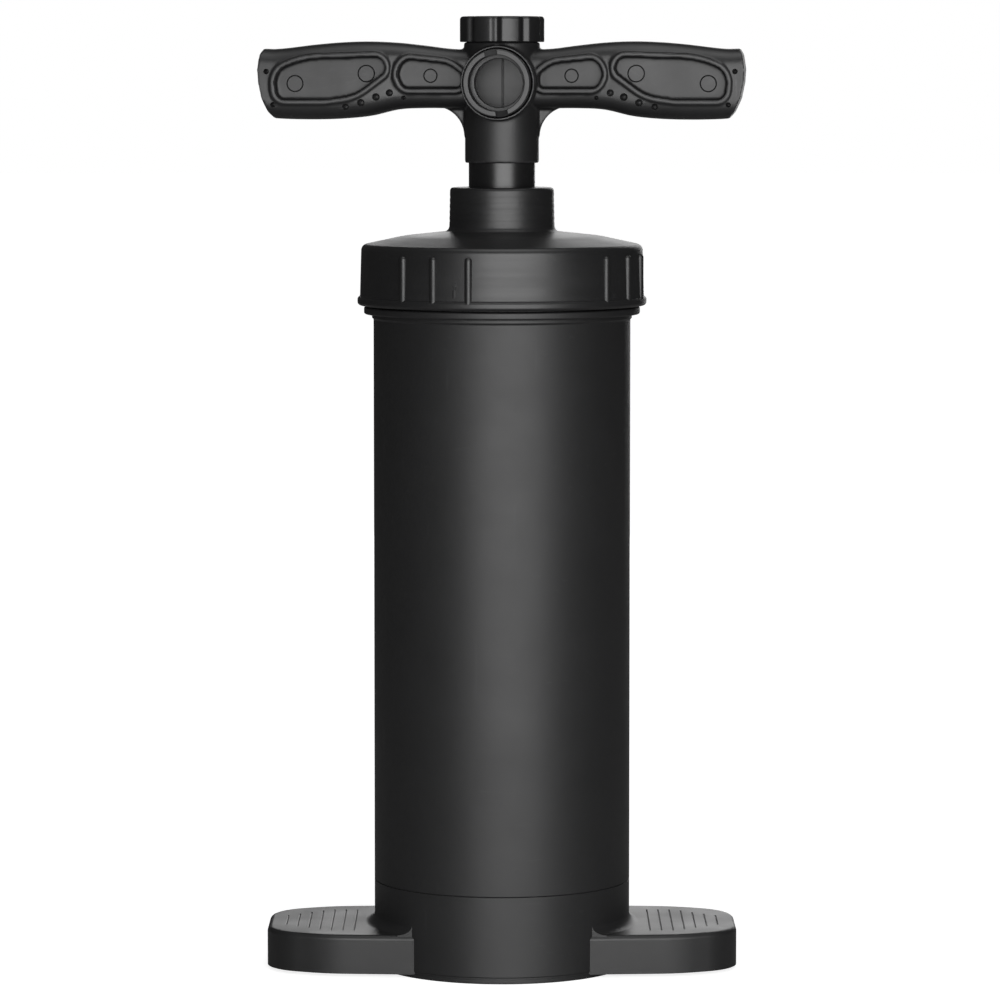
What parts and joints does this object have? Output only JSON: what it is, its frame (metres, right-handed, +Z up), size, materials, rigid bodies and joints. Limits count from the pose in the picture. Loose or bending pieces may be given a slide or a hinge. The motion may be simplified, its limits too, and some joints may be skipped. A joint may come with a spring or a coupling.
{
  "type": "manual hand air pump",
  "caption": "Upright two-way hand pump with a T-handle, hose port, vent cap, screw cap and foot base, for inflating boats.",
  "frame": {"origin": "middle of the foot base on the ground, on the barrel's axis", "axes": "+Z up along the barrel, -Y to the front where the hose plugs in, +X along the feet"},
  "size_m": [0.2462, 0.1458, 0.48],
  "materials": {
    "base_plastic": "satin moulded polypropylene",
    "barrel_plastic": "satin moulded polypropylene",
    "cap_plastic": "satin moulded polypropylene",
    "handle_plastic": "satin moulded nylon",
    "port_plastic": "satin moulded plastic",
    "knob_plastic": "satin moulded plastic",
    "rod_plastic": "smooth extruded tube",
    "bush_plastic": "natural low-friction plastic",
    "piston_plastic": "moulded plastic",
    "rubber_black": "soft rubber",
    "flap_rubber": "thin soft rubber",
    "screw_steel": "zinc-plated steel"
  },
  "bodies": {
    "pump_body": {"foot_base": "base_plastic", "base_gasket": "rubber_black", "floor_buffer": "rubber_black", "barrel": "barrel_plastic", "cap_gasket": "rubber_black", "screw_cap": "cap_plastic", "rod_bush": "bush_plastic", "rod_seal": "rubber_black", "seal_retainer": "bush_plastic", "stop_ring": "rubber_black"},
    "seal_carrier": {"piston_seal": "rubber_black"},
    "plunger": {"piston_bottom": "piston_plastic", "piston_middle": "piston_plastic", "piston_top": "piston_plastic", "piston_screws": "screw_steel", "piston_rod": "rod_plastic", "inner_tube": "bush_plastic", "handle": "handle_plastic", "front_port": "port_plastic", "rear_port": "port_plastic", "air_divider": "port_plastic"},
    "lower_suction_valve": {"suction_flap_low": "flap_rubber"},
    "upper_suction_valve": {"suction_flap_high": "flap_rubber"},
    "lower_pressure_valve": {"pressure_flap_low": "flap_rubber"},
    "upper_pressure_valve": {"pressure_flap_high": "flap_rubber"},
    "vent_seal": {"vent_washer": "rubber_black"},
    "vent_knob": {"vent_cap": "knob_plastic"}
  },
  "joints": [
    {"name": "plunger_slide", "type": "slide", "parent": "pump_body", "child": "seal_carrier", "axis": [0, 0, 1], "range_m": [0, 0.3]},
    {"name": "handle_spin", "type": "hinge", "parent": "seal_carrier", "child": "plunger", "pos_m": [0, 0, 0.44], "axis": [0, 0, 1], "continuous": true},
    {"name": "lower_suction_lift", "type": "slide", "parent": "plunger", "child": "lower_suction_valve", "axis": [0, 0, -1], "range_m": [0, 0.0019], "stiffness_N_per_m": 80, "springref_m": -0.0015},
    {"name": "upper_suction_lift", "type": "slide", "parent": "plunger", "child": "upper_suction_valve", "axis": [0, 0, 1], "range_m": [0, 0.0019], "stiffness_N_per_m": 80, "springref_m": -0.0015},
    {"name": "lower_pressure_lift", "type": "slide", "parent": "plunger", "child": "lower_pressure_valve", "axis": [0, 0, 1], "range_m": [0, 0.0019], "stiffness_N_per_m": 80, "springref_m": -0.0015},
    {"name": "upper_pressure_lift", "type": "slide", "parent": "plunger", "child": "upper_pressure_valve", "axis": [0, 0, -1], "range_m": [0, 0.0019], "stiffness_N_per_m": 80, "springref_m": -0.0015},
    {"name": "vent_lift", "type": "slide", "parent": "plunger", "child": "vent_seal", "axis": [0, 0, 1], "range_m": [0, 0.00676]},
    {"name": "vent_turn", "type": "hinge", "parent": "vent_seal", "child": "vent_knob", "pos_m": [0, 0, 0.47], "axis": [0, 0, 1], "range_deg": [0, 810]}
  ],
  "couplings": [
    {"joint": "vent_lift", "follows": "vent_turn", "m_per_rad": 0.00047746}
  ]
}
